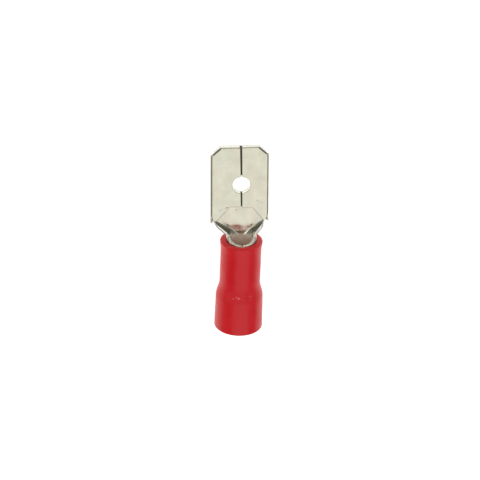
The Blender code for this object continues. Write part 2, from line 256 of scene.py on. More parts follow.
def seam_at(s, p, y):
    """How far the seam lies to the right of the tab's middle, and how wide it gapes."""
    along = np.clip((p.tip - y) / s.root_from_tip, 0, 1)
    return mixed(SEAM_AT_TIP, SEAM_AT_ROOT, along), s.seam_gap * mixed(1, SEAM_GAP_SHARE_AT_ROOT, along)


# Forming: the flat pattern's points are carried to their places


def section(s, p, y):
    """The rolled cross-section at y: half its flat floor, its bends' radius and their greatest angle."""
    opening = eased((y - p.flare_start) / NECK_BEND_LENGTH)
    flat = s.tab_width / 2 * eased((y - p.flare_start) / FLARE_LENGTH, FLARE_SLOPE)
    radius = mixed(p.bore_radius, NECK_BEND_RADIUS, opening)
    radius = mixed(radius, CORNER_BEND_RADIUS, smooth_step(y, p.waist, p.corner))
    flap_bend = smooth_step(y, p.corner - FLAP_BEND_BEFORE, p.corner + FLAP_BEND_AFTER)
    radius = mixed(radius, FLAP_BEND_RADIUS, flap_bend)
    return flat, radius, mixed(math.pi, NECK_WALL_ANGLE, opening)


def inner_surface(s, p, x, y):
    """Where the sheet's inner face goes: a flat floor, a bend on each side, and a straight wall after it."""
    flat, radius, most = section(s, p, y)
    beyond = np.maximum(np.abs(x) - flat, 0)
    turn = np.minimum(beyond / radius, most)
    wall = beyond - turn * radius
    across = np.minimum(np.abs(x), flat) + radius * np.sin(turn) + wall * np.cos(turn)
    up = radius * (1 - np.cos(turn)) + wall * np.sin(turn)
    return np.stack([np.copysign(across, x), y, up - p.bore_radius], axis=1)


def rolled(s, p, x, y, height):
    """Points this high over the sheet's inner face, after rolling."""
    step = s.sheet / NORMAL_STEPS
    along = inner_surface(s, p, x, y + step) - inner_surface(s, p, x, y - step)
    across = inner_surface(s, p, x + step, y) - inner_surface(s, p, x - step, y)
    normal = np.cross(across, along)
    normal /= np.linalg.norm(normal, axis=1, keepdims=True)
    return inner_surface(s, p, x, y) + height[:, None] * normal


def folded(s, p, across, depth):
    """Cross-section of the tab: place across it, and height over the inner face of the back layer."""
    beyond = np.abs(across) - p.fold_start
    turn = np.clip(beyond / p.fold_reach, 0, 1) * math.pi
    sine, cosine = np.sin(turn), np.cos(turn)
    power = s.fold_squareness
    square = (np.abs(sine) ** power + np.abs(cosine) ** power) ** (-1 / power)
    reach = (p.fold_radius + depth) * mixed(1, square, depth / s.sheet)
    x = np.minimum(np.abs(across), p.fold_start) + reach * sine - np.maximum(beyond - p.fold_reach, 0)
    return np.copysign(1, across) * x, p.fold_radius - reach * cosine


def leaned(p, points):
    """Turns the barrel about the pivot; the turn fades out along the neck."""
    fade = 1 - eased((points[:, 1] - p.flare_start) / (p.corner - p.mouth))
    lean = np.array(Matrix.Rotation(-BARREL_LEAN, 3, "Z"))
    pivot = np.array((0, LEAN_PIVOT, 0))
    turned = (points - pivot) @ lean.T + pivot
    return mixed(points, turned, fade[:, None])


def laid_down(p, points):
    """From the terminal's own axes to where the part lies, as the record's mount on the tab's face says."""
    mount = next(m for m in frame["record"]["mounts"] if m["name"] == "tab_front_face")
    tilt = Matrix.Rotation(-math.atan2(mount["axis"][1], mount["axis"][2]), 3, "X")
    own = tilt @ Vector((CHECK_POINT_X, p.tip - CHECK_POINT_FROM_TIP, p.tab_top))
    shift = Vector(mount["pos_m"]) - own
    return np.asarray(points) @ np.array(tilt).T + np.array(shift)


# Outline of the flat pattern, as corners (x, y, radius of the corner)
BARREL_CORNER = 0.00015
LIP_CORNER = 0.00012
SLANT_CORNER = 0.0003
ROOT_CORNER = 0.00018
SEAM_CORNER = 0.00013
TIP_CORNER = 0.00016
NARROWING_START = 0.3  # radians into the quarter turn by which the barrel's sides narrow to the waist
HOLE_CORNER_TURN = 0.32  # radians of the hole's edge that are left to each of its corners at the seam
NARROWING_STEPS = 12
WIDENING_STEPS = 21
TIP_FOLD_STEPS = 16
HALF_HOLE_STEPS = 32
HOLE_STEPS = 96
FILLET_STEPS = 6
FILLET_MOST = 0.45  # no fillet takes more than this share of an edge beside it


def hole_points(s, p, first, last, steps):
    """Points of the locking hole's edge, by angle from +x."""
    middle = seam_at(s, p, p.hole_y)[0]
    radius = s.hole_diameter / 2
    turns = np.linspace(first, last, steps + 1)
    return [(middle + radius * math.cos(t), p.hole_y + radius * math.sin(t)) for t in turns]


def half_outline(s, p, side):
    """One half of the outline, from the middle of the barrel's end to the middle of the tip."""
    corners = [(0, p.barrel_start, 0), (p.barrel_half, p.barrel_start, BARREL_CORNER)]
    corners.append((p.barrel_half, p.mouth, BARREL_CORNER))
    for turn in np.linspace(NARROWING_START, math.pi / 2, NARROWING_STEPS + 1):
        half = mixed(p.barrel_half, s.neck_waist_half, math.sin(turn))
        corners.append((half, p.mouth + WAIST_FROM_MOUTH * (1 - math.cos(turn)), 0))
    for along in np.linspace(0, 1, WIDENING_STEPS + 1)[1:-1]:
        half = mixed(s.neck_waist_half, p.fold_start, along**2)
        corners.append((half, mixed(p.waist, p.corner, along) + side * along * CORNER_SKEW, 0))
    corner_y = p.corner + side * CORNER_SKEW
    root_y = p.root - side * ROOT_SKEW
    slant_end = p.flap_turn - s.root_half - side * SEAM_AT_ROOT
    corners.append((p.fold_start, corner_y, 0))
    corners.append((p.fold_end + CORNER_LIP, corner_y, LIP_CORNER))
    corners.append((slant_end, root_y, SLANT_CORNER))
    corners += seam_edge(s, p, side)
    corners.append((p.flap_turn - p.chamfer_x, p.tip, TIP_CORNER))
    for turn in np.linspace(math.pi, 0, TIP_FOLD_STEPS + 1):
        x = p.fold_start + (p.fold_radius + s.sheet / 2) * math.sin(turn)
        y = p.tip - p.chamfer_slope * (x - p.chamfer_x)
        corners.append((p.fold_start + p.fold_reach * turn / math.pi, y, 0))
    corners.append((p.chamfer_x, p.tip, TIP_CORNER))
    return corners


def seam_edge(s, p, side):
    """The free edge of a flap in the flat pattern: root corner, its half of the locking hole, tip corner."""

    def on_flap(x, y):
        return p.flap_turn - side * x, y

    def edge_x(y):
        middle, gap = seam_at(s, p, y)
        return middle + side * gap / 2

    root_y = p.root - side * ROOT_SKEW
    opening = math.asin(seam_at(s, p, p.hole_y)[1] / s.hole_diameter)
    middle, upwards = (0, 1) if side == RIGHT else (math.pi, -1)
    quarter = upwards * (math.pi / 2 - opening)
    arc_start = middle - quarter + upwards * HOLE_CORNER_TURN
    arc_end = middle + quarter - upwards * HOLE_CORNER_TURN
    low, high = hole_points(s, p, middle - quarter, middle + quarter, 1)
    edge = [(edge_x(root_y), root_y, ROOT_CORNER), (*low, SEAM_CORNER)]
    edge += [(x, y, 0) for x, y in hole_points(s, p, arc_start, arc_end, HALF_HOLE_STEPS)]
    edge += [(*high, SEAM_CORNER), (edge_x(p.tip), p.tip, SEAM_CORNER)]
    return [(*on_flap(x, y), radius) for x, y, radius in edge]


def filleted(corners):
    """The closed outline with each corner that has a radius rounded."""
    points = []
    for place, (x, y, radius) in enumerate(corners):
        here = Vector((x, y))
        before = Vector(corners[place - 1][:2]) - here
        after = Vector(corners[(place + 1) % len(corners)][:2]) - here
        if radius == 0:
            points.append(here)
            continue
        half_turn = before.angle(after) / 2
        most = FILLET_MOST * min(before.length, after.length)
        reach = min(radius / math.tan(half_turn), most)
        start, end = before.normalized() * reach, after.normalized() * reach
        centre = (start + end) / 2 / math.cos(half_turn) ** 2
        for along in np.linspace(0, 1, FILLET_STEPS + 1):
            heading = (start - centre).slerp(end - centre, along)  # of length 1
            points.append(here + centre + heading * (start - centre).length)
    return points


def spaced(points, spacing_at):
    """The closed outline with its long stretches divided, and without doubled points."""
    result = []
    for start, end in zip(points, points[1:] + points[:1]):
        reach = (end - start).length
        if reach < SAME_PLACE:
            continue
        pieces = max(1, math.ceil(reach / spacing_at((start + end) / 2) - SPACING_SLACK))
        result += [start.lerp(end, step / pieces) for step in range(pieces)]
    return np.array(result)


def inset(loop, distance):
    """The loop moved inwards, to the left of its direction, with mitred corners."""
    ahead = np.roll(loop, -1, axis=0) - loop
    ahead /= np.linalg.norm(ahead, axis=1, keepdims=True)
    normal = np.stack([-ahead[:, 1], ahead[:, 0]], axis=1)
    both = normal + np.roll(normal, 1, axis=0)
    both /= np.einsum("ij,ij->i", both, normal)[:, None]
    return loop + distance * both


def distance_to(points, loops):
    """Distance of each point to the nearest stretch of the loops, and whether it lies inside them."""
    nearest = np.full(len(points), np.inf)
    inside = np.zeros(len(points), bool)
    for loop in loops:
        for start, end in zip(loop, np.roll(loop, -1, axis=0)):
            stretch = end - start
            along = np.clip((points - start) @ stretch / (stretch @ stretch), 0, 1)
            gap = np.linalg.norm(points - start - along[:, None] * stretch, axis=1)
            nearest = np.minimum(nearest, gap)
            if start[1] != end[1]:
                crossing = (points[:, 1] < start[1]) != (points[:, 1] < end[1])
                at = start[0] + (points[:, 1] - start[1]) / stretch[1] * stretch[0]
                inside ^= crossing & (points[:, 0] < at)
    return nearest, inside


# Dents and creases that handling and the forming tool leave: start, end, half width, depth, along the tab
FLAP_MARKS = (
    ((-0.00096, 0.0142), (-0.00172, 0.01402), 0.00005, 0.000019),
    ((-0.0016, 0.01403), (-0.0026, 0.0137), 0.00006, 0.000021),
    ((0.00164, 0.01504), (0.0022, 0.01482), 0.00005, 0.000022),
    ((0.0021, 0.01484), (0.00262, 0.01457), 0.00004, 0.000018),
    ((0.0016, 0.01838), (0.0021, 0.01834), 0.00004, 0.000012),
    ((0.0018, 0.01852), (0.002, 0.01846), 0.00003, 0.000009),
    ((-0.0024, 0.0166), (-0.00233, 0.0151), 0.00004, 0.00001),
)
FLOOR_MARKS = (((-0.0005, 0.01352), (-0.00012, 0.01358), 0.00005, 0.000014),)

MARK_TAPER = 0.7  # how much of its depth a mark loses towards its ends
MARK_OVERRUN = 0.08  # how far the rows of points run past a mark's ends, as a share of its length
MARK_ROWS = (-2.2, -1.2, -0.5, 0, 0.5, 1.2, 2.2)  # places of the rows, in half widths of the mark

# Spacing of the mesh, fine where the sheet is bent tightly
FLAT_SPACING = 0.00015
FOLD_STEPS = 16
NECK_SPACING = 0.00005
ROW_SPACING = 1.3 * NECK_SPACING
BARREL_SPACING = 0.0001
OUTLINE_SPACING = 0.00009
FINE_OUTLINE_SPACING = 0.6 * OUTLINE_SPACING
SPACING_SLACK = 0.01  # a stretch longer by this share of the spacing isn't divided further
MARK_SPACING = 0.00006
BARREL_GRID_END = 0.0003  # from here before the mouth, the neck's finer grid follows
NECK_GRID_START = 0.00025
NECK_GRID_END = 0.0015  # past the lower corners
FINE_FROM_MOUTH = 0.0005  # the outline is finer from here before the mouth to past the lower corners
FINE_PAST_CORNER = 0.0001
BEND_ROWS = (-0.00004, 0, 0.00004, 0.0001)  # places of the rows beside the lines where the floor bends up
BEND_ROWS_SHORTER = 0.0003
LEAD_IN_ROWS = (0.00012, 0.00016, 0.0002, 0.00024, 0.00028, 0.00033)  # from the tip's edge
TIP_ROWS_REACH = 1.3  # how far from the tip those rows run, in chamfer lengths
CLEAR_OF_LEAD_IN = 0.00038
CLEAR_OF_RINGS = 0.00003
ROWS_CLEAR_OF_RINGS = 0.00002
HOLD = 0.00002  # a narrow band beside each rounded edge, which keeps the faces next to it flat
ROUND_STEPS = 3
MILLIMETRES = 1000  # triangles are found in mm, as the search works badly with tiny numbers
MICROMETRES = 1e6
TRIANGLE_TOLERANCE = 1e-7


def grid_points(xs, ys):
    return [(x, y) for y in ys for x in xs]


def evenly(start, end, spacing):
    return np.linspace(start, end, max(2, round(abs(end - start) / spacing) + 1))


def serration_places(s, p):
    """(y, depth pressed into the barrel's inner face) across the serrations."""
    first = p.barrel_start + (s.barrel_length - SERRATION_PITCH * (s.serrations - 1)) / 2
    places = []
    for place in range(s.serrations):
        low = first + place * SERRATION_PITCH - SERRATION_WIDTH / 2
        high = low + SERRATION_WIDTH
        places += [(low, 0), (low + SERRATION_DEPTH, 1), (high - SERRATION_DEPTH, 1), (high, 0)]
    return places


def inner_points(s, p):
    """Candidate points inside the outline, gathered where the sheet is bent."""
    barrel_x = evenly(-p.barrel_half, p.barrel_half, BARREL_SPACING)
    barrel_y = list(evenly(p.barrel_start, p.mouth - BARREL_GRID_END, 3 * BARREL_SPACING))
    barrel_y += [y for y, _ in serration_places(s, p)]
    points = grid_points(barrel_x, barrel_y)
    bend_end = p.corner + NECK_GRID_END
    neck_y = evenly(p.mouth - NECK_GRID_START, bend_end, ROW_SPACING)
    points += grid_points(evenly(-p.fold_start, p.fold_start, NECK_SPACING), neck_y)
    wide_y = neck_y[neck_y < p.waist]
    outer_x = evenly(p.fold_start, p.barrel_half, NECK_SPACING)
    points += grid_points(outer_x, wide_y) + grid_points(-outer_x, wide_y)
    tab_y = evenly(bend_end, p.tip, FLAT_SPACING)[1:]
    points += grid_points(evenly(-p.fold_start, p.fold_start, FLAT_SPACING), tab_y)
    fold_x = np.linspace(p.fold_start, p.fold_end, FOLD_STEPS + 1)[1:]
    flap_x = evenly(p.fold_end, p.flap_turn + SEAM_AT_ROOT, FLAT_SPACING)[1:]
    fine_x = evenly(p.fold_end, p.flap_turn - s.root_half, ROW_SPACING)[1:]
    low_y = evenly(p.corner, bend_end, ROW_SPACING)
    for side in (LEFT, RIGHT):
        points += grid_points(side * fold_x, low_y) + grid_points(side * fine_x, low_y)
        points += grid_points(side * fold_x, tab_y) + grid_points(side * flap_x, tab_y)
    return np.array(points)


def mark_points(p):
    """Rows of points along the marks, fine enough to carry their grooves."""
    points = []
    for marks, on_flap in ((FLAP_MARKS, True), (FLOOR_MARKS, False)):
        for start, end, width, _ in marks:
            start, end = np.array(start), np.array(end)
            reach = np.linalg.norm(end - start)
            aside = np.array((start[1] - end[1], end[0] - start[0])) / reach
            for along in np.linspace(-MARK_OVERRUN, 1 + MARK_OVERRUN, max(4, round(reach / MARK_SPACING))):
                for offset in MARK_ROWS:
                    x, y = start + along * (end - start) + offset * width * aside
                    points.append((math.copysign(p.flap_turn - abs(x), x), y) if on_flap else (x, y))
    return np.array(points)


def bend_points(s, p):
    """Rows of points along both lines where the floor starts to bend up, on the sheet and on its flaps."""
    first, last = p.flare_start + BEND_ROWS_SHORTER, p.flare_start + FLARE_LENGTH - BEND_ROWS_SHORTER
    y = evenly(first, last, ROW_SPACING)
    points = []
    for offset in BEND_ROWS:
        x = section(s, p, y)[0] + offset
        for line in (x, -x, p.flap_turn - x, x - p.flap_turn):
            points.append(np.stack([line, y], axis=1))
    return np.concatenate(points)


def grooves(x, y, marks):
    """How deep the marks press into a face at x, y."""
    depth = np.zeros(len(x))
    for start, end, width, most in marks:
        start, stretch = np.array(start), np.array(end) - np.array(start)
        from_start = np.stack([x, y], axis=1) - start
        along = np.clip(from_start @ stretch / (stretch @ stretch), 0, 1)
        gap = np.linalg.norm(from_start - along[:, None] * stretch, axis=1)
        taper = 1 - MARK_TAPER * np.abs(2 * along - 1) ** 3
        depth = np.maximum(depth, most * taper * np.exp(-((gap / width) ** 2)))
    return depth


def lead_in_points(s, p, loop):
    """Rows of points along the tip's edge, which carry the pressed bevel."""
    rows = []
    for depth in LEAD_IN_ROWS:
        row = inset(loop, depth)
        rows.append(row[loop[:, 1] > p.tip - TIP_ROWS_REACH * s.chamfer_length])
    return np.concatenate(rows)


def flat_pattern(s, p):
    """Rings and inner points of the flat sheet, and the triangles between them."""

    def spacing_at(point):
        x, y = abs(point[0]), point[1]
        in_neck = p.mouth - FINE_FROM_MOUTH < y < p.corner + FINE_PAST_CORNER
        return FINE_OUTLINE_SPACING if in_neck or p.fold_start < x < p.fold_end else OUTLINE_SPACING

    def clear_of_marks(points):
        return points[np.min(np.linalg.norm(points[:, None] - marked[None], axis=2), axis=1) > MARK_SPACING]

    right = half_outline(s, p, RIGHT)
    left = [(-x, y, radius) for x, y, radius in half_outline(s, p, LEFT)[:0:-1]]
    outline = spaced(filleted(right + [(0, p.tip, 0)] + left), spacing_at)
    hole = np.array(hole_points(s, p, 2 * math.pi, 0, HOLE_STEPS)[:-1])
    loops = [outline, hole]
    widest = max(s.cut_edge_round, s.burr_edge_round) + HOLD
    points = inner_points(s, p)
    gap, inside = distance_to(points, loops)
    near_tip = points[:, 1] > p.tip - TIP_ROWS_REACH * s.chamfer_length
    points = points[inside & (gap > np.where(near_tip, CLEAR_OF_LEAD_IN, widest + CLEAR_OF_RINGS))]
    marked = mark_points(p)
    marked = np.concatenate([marked, clear_of_marks(bend_points(s, p))])
    points = clear_of_marks(points)
    edge_rows = np.concatenate([lead_in_points(s, p, outline), marked])
    gap, inside = distance_to(edge_rows, loops)
    points = np.concatenate([points, edge_rows[inside & (gap > widest + ROWS_CLEAR_OF_RINGS)]])
    points = points[np.unique(np.round(points * MICROMETRES), axis=0, return_index=True)[1]]
    return loops, points, triangulated([inset(loop, widest) for loop in loops], points, hole)


def triangulated(rings, points, hole):
    """Triangles over the rings' points, numbered first, and the inner points."""
    corners = [Vector(point) * MILLIMETRES for point in np.concatenate(rings + [points])]
    edges, start = [], 0
    for ring in rings:
        edges += [(start + i, start + (i + 1) % len(ring)) for i in range(len(ring))]
        start += len(ring)
    _, _, faces, kept, _, _ = delaunay_2d_cdt(corners, edges, [], 1, TRIANGLE_TOLERANCE)
    if any(len(origin) != 1 for origin in kept):
        raise RuntimeError("the flat pattern's points meet: widen its spacing")
    number = np.array([origin[0] for origin in kept])
    faces = number[np.array(faces)]
    place = np.array([corner[:] for corner in corners]) / MILLIMETRES
    middle = place[faces].mean(axis=1)
    return faces[~distance_to(middle, [hole])[1]]


def edge_profile(s):
    """(inset, depth) of the rings from the inner face round the cut edge to the outer face."""
    widest = max(s.cut_edge_round, s.burr_edge_round) + HOLD
    rings = [(widest, 0)]
    turns = [(math.sin(turn), math.cos(turn)) for turn in np.linspace(0, math.pi / 2, ROUND_STEPS + 1)]
    reach = s.burr_edge_round
    rings += [(reach * (1 - sine), reach * (1 - cosine)) for sine, cosine in turns]
    reach = s.cut_edge_round
    rings += [(reach * (1 - sine), s.sheet - reach * (1 - cosine)) for sine, cosine in reversed(turns)]
    return rings + [(widest, s.sheet)]


def sheet_solid(s, p):
    """Flat points (across, y, depth) of the sheet with rounded edges, its faces, and which points are cut."""
    loops, points, triangles = flat_pattern(s, p)
    profile = edge_profile(s)
    places, faces, cut = [], [], []
    first = 0
    inner_number, outer_number = [], []
    for loop in loops:
        size = len(loop)
        for ring, (distance, depth) in enumerate(profile):
            row = inset(loop, distance)
            places.append(np.column_stack([row, np.full(size, depth)]))
            cut.append(np.full(size, 1.0 if distance == 0 else 0.0))
            if ring + 1 < len(profile):
                low = first + ring * size + np.arange(size)
                ahead = first + ring * size + (np.arange(size) + 1) % size
                faces += np.column_stack([low, low + size, ahead + size, ahead]).tolist()
        inner_number += list(first + np.arange(size))
        outer_number += list(first + (len(profile) - 1) * size + np.arange(size))
        first += len(profile) * size
    inner_number += list(first + np.arange(len(points)))
    outer_number += list(first + len(points) + np.arange(len(points)))
    places.append(np.column_stack([points, np.zeros(len(points))]))
    places.append(np.column_stack([points, np.full(len(points), s.sheet)]))
    faces += np.array(inner_number)[triangles].tolist()
    faces += np.array(outer_number)[triangles[:, ::-1]].tolist()
    cut.append(np.zeros(2 * len(points)))
    return np.concatenate(places), faces, np.concatenate(cut)


def noise_field(x, y, seed):
    """A smooth field of a few slow waves, from about -1 to 1."""
    random = np.random.default_rng(seed)
    total = np.zeros(len(x))
    for _ in range(WAVE_COUNT):
        heading, phase = random.uniform(0, 2 * math.pi, 2)
        wave = random.uniform(*WAVE_LENGTHS)
        total += np.sin(2 * math.pi / wave * (x * math.cos(heading) + y * math.sin(heading)) + phase)
    return total / WAVE_PEAK


def formed(s, p, flat):
    """Carries the flat sheet's points through pressing, folding and rolling to their places."""
    across, y, depth = flat.T
    inner = 1 - depth / s.sheet
    teeth = serration_places(s, p)
    pressed = np.interp(y, [place for place, _ in teeth], [SERRATION_DEPTH * d for _, d in teeth])
    depth = depth + inner * pressed
    x, _ = folded(s, p, across, np.full(len(across), s.sheet / 2))
    in_fold = np.sin(np.clip((np.abs(across) - p.fold_start) / p.fold_reach, 0, 1) * math.pi)
    in_tab = y > p.waist
    beyond = np.abs(x) - p.chamfer_x
    to_chamfer = (p.tip - y - p.chamfer_slope * beyond) / math.hypot(1, p.chamfer_slope)
    near = np.clip(1 - to_chamfer / TIP_TURN_REACH, 0, 1) * in_tab
    y = y - near * in_fold * p.chamfer_slope * (depth - s.sheet / 2)
    by_chamfer = np.abs(x) > p.chamfer_x - s.lead_in_length
    to_edge = np.minimum(p.tip - y, np.where(by_chamfer, to_chamfer, np.inf))
    run_out = smooth_step(to_edge, LEAD_IN_FLAT, s.lead_in_length * LEAD_IN_FADE)
    depth = depth * (1 - s.lead_in_depth * (1 - run_out) * (1 - in_fold) * in_tab / s.sheet)
    on_flap = smooth_step(np.abs(across), p.fold_end, p.fold_end + FLAP_MARK_FADE)
    depth = depth - (1 - inner) * on_flap * grooves(x, y, FLAP_MARKS)
    depth = depth + inner * (1 - on_flap) * grooves(x, y, FLOOR_MARKS)
    fold_x, height = folded(s, p, across, depth)
    x = np.where(in_tab, fold_x, across)
    height = np.where(in_tab, height, -depth)
    height = height + s.waviness * noise_field(x, y, WAVINESS_SEED) * in_tab
    points = rolled(s, p, x, y, height)
    on_crown = 1 - smooth_step(np.abs(x), *CROWN_ASIDE)
    points[:, 2] += crown(y - p.mouth) * on_crown - valleys(x, y - p.mouth)
    return leaned(p, points)


def crown(from_mouth):
    """How much higher the floor lies there than in the tab."""
    places, degrees = np.array(CROWN_SLOPES).T
    row = np.arange(places[0], places[-1] + CROWN_STEP, CROWN_STEP)
    drop = np.cumsum(np.tan(np.radians(np.interp(row, places, degrees)))) * CROWN_STEP
    heights = (drop[-1] - drop) - drop[-1] * (1 - smooth_step(row, places[0], 0))
    return np.interp(from_mouth, row, heights)


def valleys(x, from_mouth):
    """How deep the shallow valleys left and right of the crown are; they fade out under the flaps."""
    fade = smooth_step(from_mouth, *VALLEY_START) * (1 - smooth_step(from_mouth, *VALLEY_END))
    aside = (x / VALLEY_ASIDE) ** 2
    return fade * VALLEY_DEPTH * aside * np.exp(1 - aside)


def inside_barrel(s, p, flat):
    """1 on the inner face of the barrel, fading out over the start of the neck."""
    return (flat[:, 2] < s.sheet / 2) * (1 - smooth_step(flat[:, 1], p.mouth, p.mouth + INSIDE_FADE))


def painted_shade_between_layers(s, p, flat):
    """1 on the faces that the flaps close in on, which are painted dark as shade in the seam and along the
    flaps' edges.
    """
    across, y, depth = flat.T
    side = np.sign(across)
    x, _ = folded(s, p, across, depth)
    start = (s.root_half + side * SEAM_AT_ROOT, p.fold_start)
    share = np.clip((np.abs(x) - start[0]) / (start[1] - start[0]), 0, 1)
    edge_y = mixed(p.root - side * ROOT_SKEW, p.corner + side * CORNER_SKEW, share)
    return (depth < SAME_PLACE) * smooth_step(y, edge_y - SHADE_BEFORE, edge_y + SHADE_AFTER)


def write_attribute(mesh, name, values):
    layer = mesh.attributes.new(name, "FLOAT", "POINT")
    layer.data.foreach_set("value", np.asarray(values, np.float32))


def turn_faces_outwards(mesh):
    """Makes a closed mesh's faces look outwards, and shades them smooth."""
    shape = bmesh.new()
    shape.from_mesh(mesh)
    bmesh.ops.recalc_face_normals(shape, faces=shape.faces)
    shape.to_mesh(mesh)
    shape.free()
    mesh.shade_smooth()


# Materials


def add(tree, kind, settings=None, **sockets):
    """Adds a node: settings are its own values, and each socket is fed by another's or set to a value.

    A socket is named by its name, with __ for each space, or by its number after _.
    """
    node = tree.nodes.new(kind)
    for name, value in (settings or {}).items():
        setattr(node, name, value)
    for name, source in sockets.items():
        socket = node.inputs[int(name[1:]) if name.startswith("_") else name.replace("__", " ")]
        if isinstance(source, bpy.types.NodeSocket):
            tree.links.new(source, socket)
        else:
            socket.default_value = source
    return node


def maths(tree, operation, *values):
    values = {f"_{place}": value for place, value in enumerate(values)}
    return add(tree, "ShaderNodeMath", {"operation": operation}, **values).outputs[0]


def attribute(tree, name):
    return add(tree, "ShaderNodeAttribute", {"attribute_name": name}).outputs["Fac"]


def noise(tree, place, scale, detail):
    return add(tree, "ShaderNodeTexNoise", Vector=place, Scale=scale, Detail=detail).outputs["Fac"]


def drawn_out(tree, place, scale):
    """The place scaled by a number per axis, which stretches the pattern that it feeds."""
    return add(tree, "ShaderNodeMapping", Vector=place, Scale=scale).outputs[0]


def ranged(tree, value, start, end, low, high):
    """The value's range from start to end carried to the one from low to high."""
    limits = {"From__Min": start, "From__Max": end, "To__Min": low, "To__Max": high}
    return add(tree, "ShaderNodeMapRange", Value=value, **limits).outputs[0]


def blended(tree, share, first, second):
    """The first colour going over to the second with the share."""
    return add(tree, "ShaderNodeMix", {"data_type": "RGBA"}, _0=share, _6=first, _7=second).outputs[2]


def scaled(tree, colour, scale):
    return add(tree, "ShaderNodeVectorMath", {"operation": "SCALE"}, _0=colour, Scale=scale).outputs[0]


def new_material(name):
    made = bpy.data.materials.new(name)
    made.use_nodes = True
    made.node_tree.nodes.clear()
    return made, made.node_tree


def tin_plated_brass(s):
    """Bright tin on rolled brass strip: light grey, a little cloudy, faintly drawn out along the strip.

    The sheared edges are lighter and rougher, the barrel's inside is dull, warmer and mostly matt, and the
    faces that the flaps close in get painted shade.
    """
    made, tree = new_material("tin_plated_brass")
    place = add(tree, "ShaderNodeTexCoord").outputs["Object"]
    streaks = noise(tree, drawn_out(tree, place, (7000, 260, 7000)), 1, 3)
    drift = noise(tree, drawn_out(tree, place, (900, 260, 900)), 1, 2)
    inside = attribute(tree, "inside_barrel")
    cut = attribute(tree, "cut_edge")
    tints = blended(tree, ranged(tree, drift, 0.35, 0.65, 0, 1), (*s.tin, 1), (*s.cool_tin, 1))
    plating = scaled(tree, tints, ranged(tree, noise(tree, place, 800, 3), 0.3, 0.7, 0.92, 1.06))
    edges = blended(tree, cut, plating, (*s.cut_colour, 1))
    # painted shade on the faces that the flaps close in
    painted_shade = blended(tree, attribute(tree, "painted_shade_between_layers"), edges, (*s.painted_shade_colour, 1))
    rough = ranged(tree, streaks, 0.3, 0.7, s.roughness - 0.03, s.roughness + 0.05)
    rough = maths(tree, "MULTIPLY_ADD", cut, 0.15, rough)
    shader = add(
        tree,
        "ShaderNodeBsdfPrincipled",
        Base__Color=blended(tree, inside, painted_shade, (*s.inside_colour, 1)),
        Metallic=ranged(tree, inside, 0, 1, 1, 0.15),
        Roughness=maths(tree, "MULTIPLY_ADD", inside, 0.2, rough),
        Normal=add(tree, "ShaderNodeBump", Strength=0.05, Distance=0.00001, Height=streaks).outputs[0],
    )
    add(tree, "ShaderNodeOutputMaterial", Surface=shader.outputs[0])
    return made


def moulded_pvc(s):
    """Soft PVC from a fine-eroded mould: red, a satin skin with a faint orange peel, and lighter flecks:
    painted glints round the shoulder, scuffed wear at the ends.
    """
    made, tree = new_material("moulded_red_pvc")
    place = add(tree, "ShaderNodeTexCoord").outputs["Object"]
    clouds = noise(tree, place, 700, 2)
    body = scaled(tree, s.pvc, ranged(tree, clouds, 0, 1, 0.9, 1.1))
    flecks = ranged(tree, noise(tree, place, 3200, 3), 0.55, 0.65, 0, 1)
    # lighter flecks: painted glints on the shoulder, scuffed wear at the ends
    glint_and_wear_share = maths(tree, "MULTIPLY", flecks, attribute(tree, "rubbed"))
    peel = noise(tree, place, 5000, 2)
    shader = add(
        tree,
        "ShaderNodeBsdfPrincipled",
        Base__Color=blended(tree, glint_and_wear_share, body, (*s.rubbed_colour, 1)),
        Roughness=ranged(tree, clouds, 0.3, 0.7, s.roughness - 0.05, s.roughness + 0.08),
        IOR=1.53,
        Specular__IOR__Level=0.3,
        Subsurface__Weight=0.1,
        Subsurface__Scale=0.0004,
        Subsurface__Radius=(1.0, 0.25, 0.2),
        Normal=add(tree, "ShaderNodeBump", Strength=0.15, Distance=0.00002, Height=peel).outputs[0],
    )
    add(tree, "ShaderNodeOutputMaterial", Surface=shader.outputs[0])
    return made


def light_table(s):
    """Matt white acrylic of a light table, lit faintly from below."""
    made, tree = new_material("white_acrylic")
    place = add(tree, "ShaderNodeTexCoord").outputs["Object"]
    tone = ranged(tree, noise(tree, place, 400, 3), 0, 1, 0.985, 1.01)
    shader = add(
        tree,
        "ShaderNodeBsdfPrincipled",
        Base__Color=scaled(tree, s.floor_colour, tone),
        Roughness=0.7,
        Specular__IOR__Level=0.2,
        Emission__Color=(*s.floor_colour, 1),
        Emission__Strength=1.4,
    )
    add(tree, "ShaderNodeOutputMaterial", Surface=shader.outputs[0])
    return made


# Sleeve
SLEEVE_SPACING = 0.0003
WIDE_ROWS_START = 0.0004  # rows of the wide part, from its end
WIDE_ROWS_END = 0.0002  # and before its shoulder
ARC_STEPS = 5
SHOULDER_STEPS = 16
LIP_STEPS = 8
FUNNEL_STEPS = 12
STEPS_GATHERED = 0.33  # the parting line needs fine steps at the sides
RIPPLE_SCALE = 420
PARTING_LINE_HALF = 0.00004
SHOULDER_GLINTS = 0.0002  # half width of the band of painted glints round the middle of the shoulder
GLINTS_ASIDE = (0.0002, 0.0016)  # the painted glints fade out from the first to the second distance off the middle
END_RUB = 0.4


def arc(centre_y, centre_r, radius, start, end):
    """Points (y, r) of a small arc from one heading to the other, in degrees from +r towards +y."""
    turns = np.radians(np.linspace(start, end, ARC_STEPS + 1))
    return [(centre_y + radius * math.sin(t), centre_r + radius * math.cos(t)) for t in turns]


